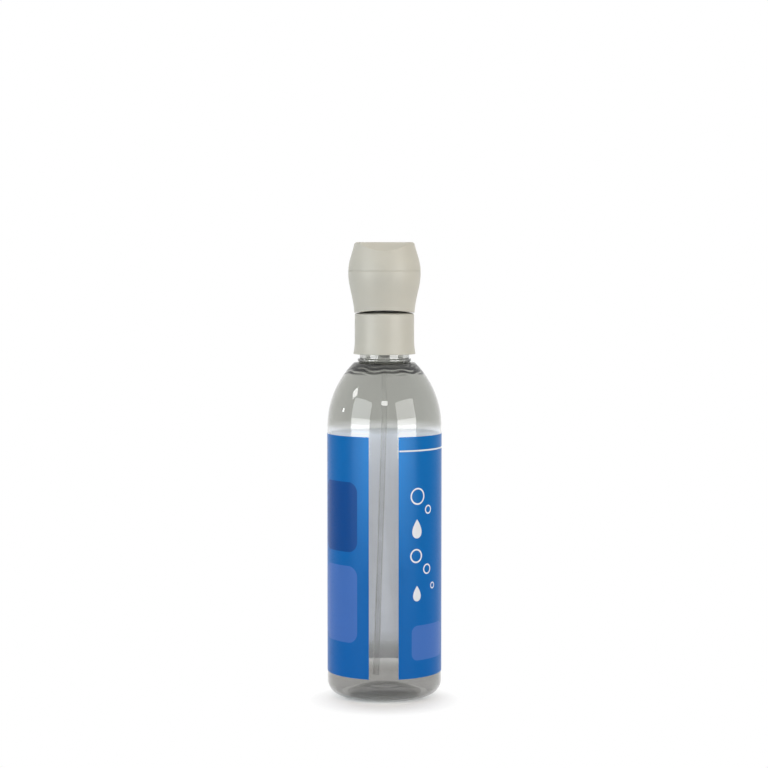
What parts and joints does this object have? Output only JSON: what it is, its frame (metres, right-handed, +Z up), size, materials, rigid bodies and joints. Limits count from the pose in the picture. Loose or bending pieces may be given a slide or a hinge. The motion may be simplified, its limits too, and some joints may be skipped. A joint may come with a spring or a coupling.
{
  "type": "trigger spray bottle",
  "caption": "Clear round spray bottle with a wrap-around label, a screw collar and a hooded fine-mist trigger head that draws through a dip tube.",
  "frame": {"origin": "centre of the foot ring, on the surface the bottle stands on", "axes": "+Z up along the bottle's axis, +X the way the spray leaves, +Y along the trigger's pivot"},
  "size_m": [0.076, 0.0662, 0.2621],
  "materials": {
    "clear_pet": "clear, glossy, faintly smoky",
    "label_film": "satin printed film, white inside",
    "housing": "warm light grey, fine moulded texture",
    "pump_plastic": "plain moulded",
    "seal": "soft",
    "spring_steel": "drawn wire",
    "ball_steel": "polished",
    "tube_plastic": "translucent"
  },
  "bodies": {
    "bottle": {"bottle": "clear_pet", "label": "label_film"},
    "head": {"neck_gasket": "seal", "pump_body": "pump_plastic", "buffer_cap": "pump_plastic", "buffer_spring": "spring_steel", "transfer_flap": "seal", "piston_retainer": "pump_plastic", "return_spring": "spring_steel", "outlet_spring": "spring_steel", "valve_plug": "pump_plastic", "swirl_insert": "pump_plastic", "orifice_cup": "pump_plastic", "nozzle_bezel": "housing", "rear_shroud": "housing", "top_cover": "housing", "dip_tube": "tube_plastic"},
    "collar": {"collar": "housing"},
    "trigger": {"trigger": "housing"},
    "pump_piston": {"pump_piston": "pump_plastic", "piston_seal": "seal"},
    "buffer_piston": {"buffer_piston": "pump_plastic", "buffer_outer_seal": "seal", "buffer_inner_seal": "seal"},
    "inlet_ball": {"inlet_ball": "ball_steel"},
    "outlet_valve": {"outlet_valve": "pump_plastic"}
  },
  "joints": [
    {"name": "head_lift", "type": "slide", "parent": "bottle", "child": "head", "axis": [0, 0, 1], "range_m": [0, 0.00635]},
    {"name": "collar_turn", "type": "hinge", "parent": "head", "child": "collar", "pos_m": [0, 0, 0.205], "axis": [0, 0, 1], "range_deg": [0, 540]},
    {"name": "trigger_pull", "type": "hinge", "parent": "head", "child": "trigger", "pos_m": [0.02, 0, 0.25205], "axis": [0, 1, 0], "range_deg": [0, 18], "stiffness_Nm_per_rad": 0.8, "springref_deg": -17.19},
    {"name": "piston_stroke", "type": "slide", "parent": "head", "child": "pump_piston", "axis": [-1, 0, 0], "range_m": [0, 0.00656], "deforming": ["return_spring"]},
    {"name": "buffer_stroke", "type": "slide", "parent": "head", "child": "buffer_piston", "axis": [0, 0, -1], "range_m": [0, 0.006], "stiffness_N_per_m": 600, "springref_m": -0.004, "deforming": ["buffer_spring"]},
    {"name": "inlet_ball_lift", "type": "slide", "parent": "head", "child": "inlet_ball", "axis": [0, 0, 1], "range_m": [0, 0.0008]},
    {"name": "outlet_valve_open", "type": "slide", "parent": "head", "child": "outlet_valve", "axis": [-1, 0, 0], "range_m": [0, 0.001], "stiffness_N_per_m": 800, "springref_m": -0.001, "deforming": ["outlet_spring"]}
  ],
  "couplings": [
    {"joint": "collar_turn", "follows": "head_lift", "rad_per_m": 1484.3},
    {"joint": "piston_stroke", "follows": "trigger_pull", "m_per_rad": 0.020755}
  ]
}
